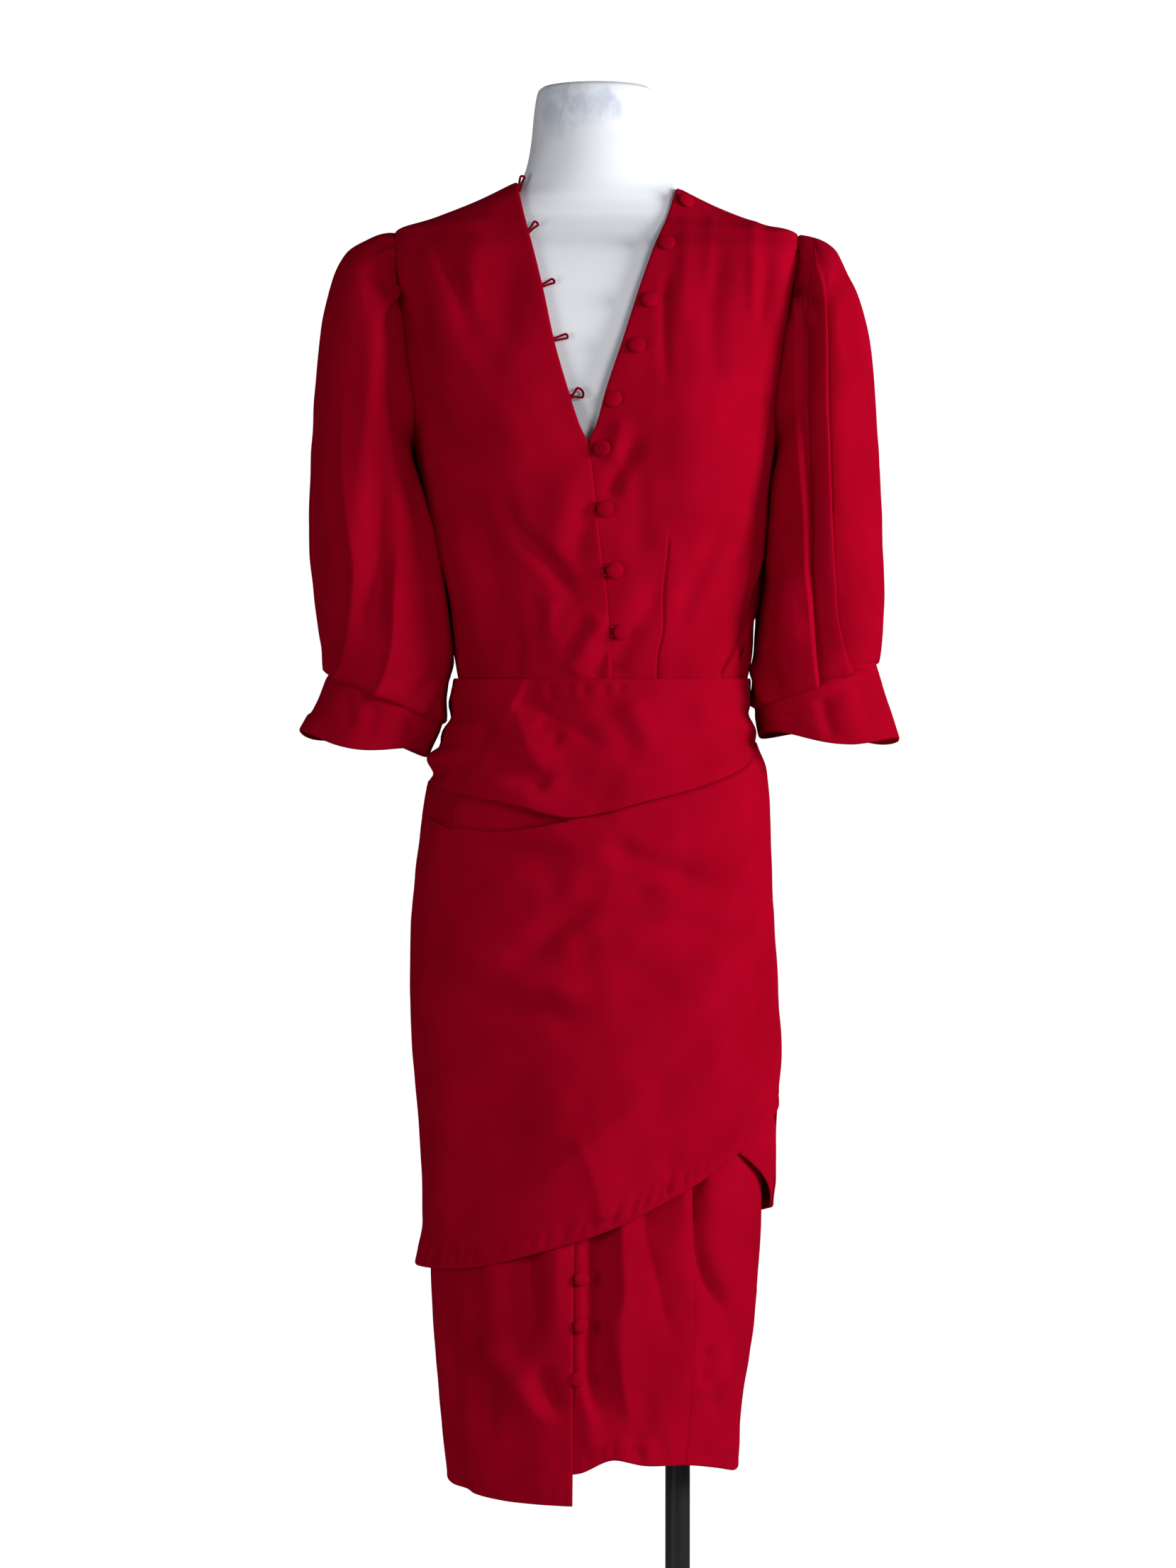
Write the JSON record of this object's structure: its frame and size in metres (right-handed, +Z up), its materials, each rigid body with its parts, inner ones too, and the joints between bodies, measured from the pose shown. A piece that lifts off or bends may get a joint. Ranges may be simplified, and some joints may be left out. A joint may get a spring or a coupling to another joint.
{
  "type": "button-down dress on a limbless dress form",
  "caption": "Fitted V-neck dress with covered buttons and loops, full three-quarter sleeves, draped wrap overskirt and button-through underskirt, on a limbless dress form with pole and base.",
  "frame": {"origin": "centre of the base plate's underside, on the floor", "axes": "+Z up, the dress faces -Y, +X towards the wearer's left"},
  "size_m": [0.5065, 0.38, 1.528],
  "materials": {
    "red_crepe": "satin-backed crepe, soft sheen",
    "form_white": "off-white, slightly stained",
    "black_satin": "black, satin",
    "plate_grey": "black, fine textured"
  },
  "bodies": {
    "root": {"bodice_front_right": "red_crepe", "bodice_front_left": "red_crepe", "bodice_back": "red_crepe", "sleeve_right": "red_crepe", "sleeve_left": "red_crepe", "cuff_right": "red_crepe", "cuff_left": "red_crepe", "waist_drape": "red_crepe", "lower_drape": "red_crepe", "under_layer": "red_crepe", "overskirt_back": "red_crepe", "skirt_front_right": "red_crepe", "skirt_front_left": "red_crepe", "skirt_side_left": "red_crepe", "skirt_back": "red_crepe", "bodice_button_1": "red_crepe", "bodice_button_2": "red_crepe", "bodice_button_3": "red_crepe", "bodice_button_4": "red_crepe", "bodice_button_5": "red_crepe", "bodice_button_6": "red_crepe", "bodice_button_7": "red_crepe", "bodice_button_8": "red_crepe", "bodice_button_9": "red_crepe", "skirt_button_1": "red_crepe", "skirt_button_2": "red_crepe", "skirt_button_3": "red_crepe", "bodice_loop_6": "red_crepe", "bodice_loop_7": "red_crepe", "bodice_loop_8": "red_crepe", "bodice_loop_9": "red_crepe", "skirt_loop_1": "red_crepe", "skirt_loop_2": "red_crepe", "skirt_loop_3": "red_crepe", "open_loop_1": "red_crepe", "open_loop_2": "red_crepe", "open_loop_3": "red_crepe", "open_loop_4": "red_crepe", "open_loop_5": "red_crepe", "form_torso": "form_white", "form_pole": "black_satin", "pole_collar": "black_satin", "pole_flange": "black_satin", "base_plate": "plate_grey"}
  },
  "joints": []
}
